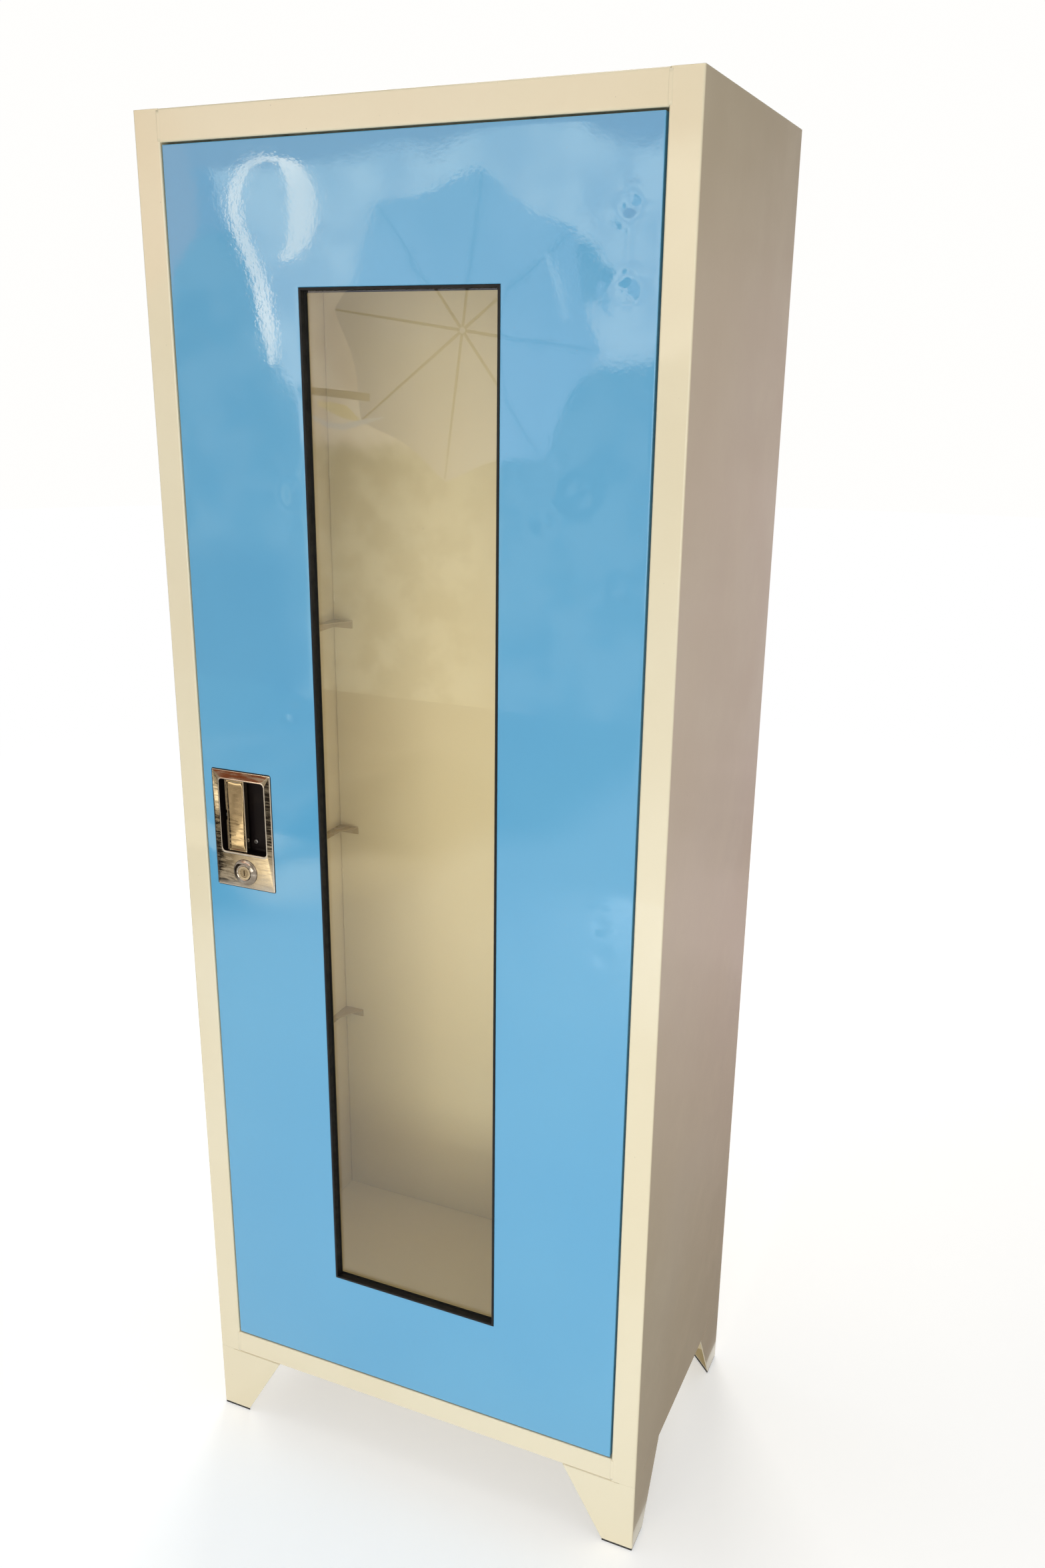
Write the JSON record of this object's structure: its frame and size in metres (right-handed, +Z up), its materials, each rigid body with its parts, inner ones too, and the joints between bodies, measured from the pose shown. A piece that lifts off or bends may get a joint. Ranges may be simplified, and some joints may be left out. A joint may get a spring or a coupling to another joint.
{
  "type": "storage locker",
  "caption": "Tall sheet steel locker with an inset glazed door, a recessed pull flap, a key-driven three-point bolt and folded corner legs.",
  "frame": {"origin": "on the floor, under the middle of the locker's overall box", "axes": "+Z up, -Y out of the door, +X to the right seen from the front"},
  "size_m": [0.675, 0.431, 1.83],
  "materials": {
    "cream_paint": "gloss enamel",
    "blue_paint": "high gloss enamel",
    "chrome": "polished",
    "zinc_steel": "zinc plated",
    "gasket_rubber": "matt",
    "buffer_rubber": "matt",
    "bronze_glass": "clear, lightly tinted",
    "nylon": "moulded",
    "ferrite": "sintered"
  },
  "bodies": {
    "carcass": {"left_side_panel": "cream_paint", "right_side_panel": "cream_paint", "top_panel": "cream_paint", "bottom_panel": "cream_paint", "back_panel": "cream_paint", "front_left_leg": "cream_paint", "front_right_leg": "cream_paint", "rear_left_leg": "cream_paint", "rear_right_leg": "cream_paint", "foot_pads": "buffer_rubber", "lower_shelf_seats": "cream_paint", "middle_shelf_seats": "cream_paint", "upper_shelf_seats": "cream_paint", "top_rod_keeper": "zinc_steel", "bottom_rod_keeper": "zinc_steel", "side_bolt_strike": "zinc_steel", "upper_hinge_frame_leaf": "zinc_steel", "middle_hinge_frame_leaf": "zinc_steel", "lower_hinge_frame_leaf": "zinc_steel", "hinge_screws": "zinc_steel", "hinge_nuts": "zinc_steel", "catch_case": "nylon", "catch_magnet": "ferrite", "catch_screws": "zinc_steel", "door_buffers": "buffer_rubber"},
    "door": {"door_pan": "blue_paint", "left_stiffener": "blue_paint", "right_stiffener": "blue_paint", "upper_stiffener": "blue_paint", "lower_stiffener": "blue_paint", "window_gasket": "gasket_rubber", "window_glass": "bronze_glass", "left_glass_retainer": "cream_paint", "right_glass_retainer": "cream_paint", "upper_glass_retainer": "cream_paint", "lower_glass_retainer": "cream_paint", "retainer_screws": "zinc_steel", "upper_hinge_door_leaf": "zinc_steel", "middle_hinge_door_leaf": "zinc_steel", "lower_hinge_door_leaf": "zinc_steel", "hinge_pins": "zinc_steel", "handle_housing": "chrome", "lock_bracket": "zinc_steel", "housing_spacer": "zinc_steel", "housing_screw": "chrome", "cylinder_ring": "chrome", "cylinder_body": "chrome", "cylinder_nut": "zinc_steel", "rod_guides": "nylon", "catch_armature": "zinc_steel", "armature_rivets": "zinc_steel", "flap_pin": "zinc_steel", "flap_spring": "zinc_steel"},
    "flap": {"pull_flap": "chrome"},
    "key_rotor": {"key_plug": "chrome", "bolt_wheel": "zinc_steel", "wheel_screw": "zinc_steel"},
    "top_rod": {"top_lock_rod": "zinc_steel"},
    "bottom_rod": {"bottom_lock_rod": "zinc_steel"},
    "latch_bolt": {"side_bolt": "zinc_steel"}
  },
  "joints": [
    {"name": "door_swing", "type": "hinge", "parent": "carcass", "child": "door", "pos_m": [0.288, -0.2035, 0.9705], "axis": [0, 0, 1], "range_deg": [0, 110]},
    {"name": "flap_pull", "type": "hinge", "parent": "door", "child": "flap", "pos_m": [-0.2665, -0.2065, 0.9895], "axis": [0, 0, -1], "range_deg": [0, 40], "stiffness_Nm_per_rad": 0.15, "springref_deg": -11.46},
    {"name": "key_turn", "type": "hinge", "parent": "door", "child": "key_rotor", "pos_m": [-0.241, -0.2095, 0.9126], "axis": [0, 1, 0], "range_deg": [0, 90]},
    {"name": "top_rod_slide", "type": "slide", "parent": "door", "child": "top_rod", "axis": [0, 0, 1], "range_m": [0, 0.02263]},
    {"name": "bottom_rod_slide", "type": "slide", "parent": "door", "child": "bottom_rod", "axis": [0, 0, -1], "range_m": [0, 0.02264]},
    {"name": "side_bolt_slide", "type": "slide", "parent": "door", "child": "latch_bolt", "axis": [-1, 0, 0], "range_m": [0, 0.02264]}
  ],
  "couplings": [
    {"joint": "key_turn", "follows": "top_rod_slide", "rad_per_m": 69.42},
    {"joint": "bottom_rod_slide", "follows": "top_rod_slide", "ratio": 1},
    {"joint": "side_bolt_slide", "follows": "top_rod_slide", "ratio": 1}
  ]
}
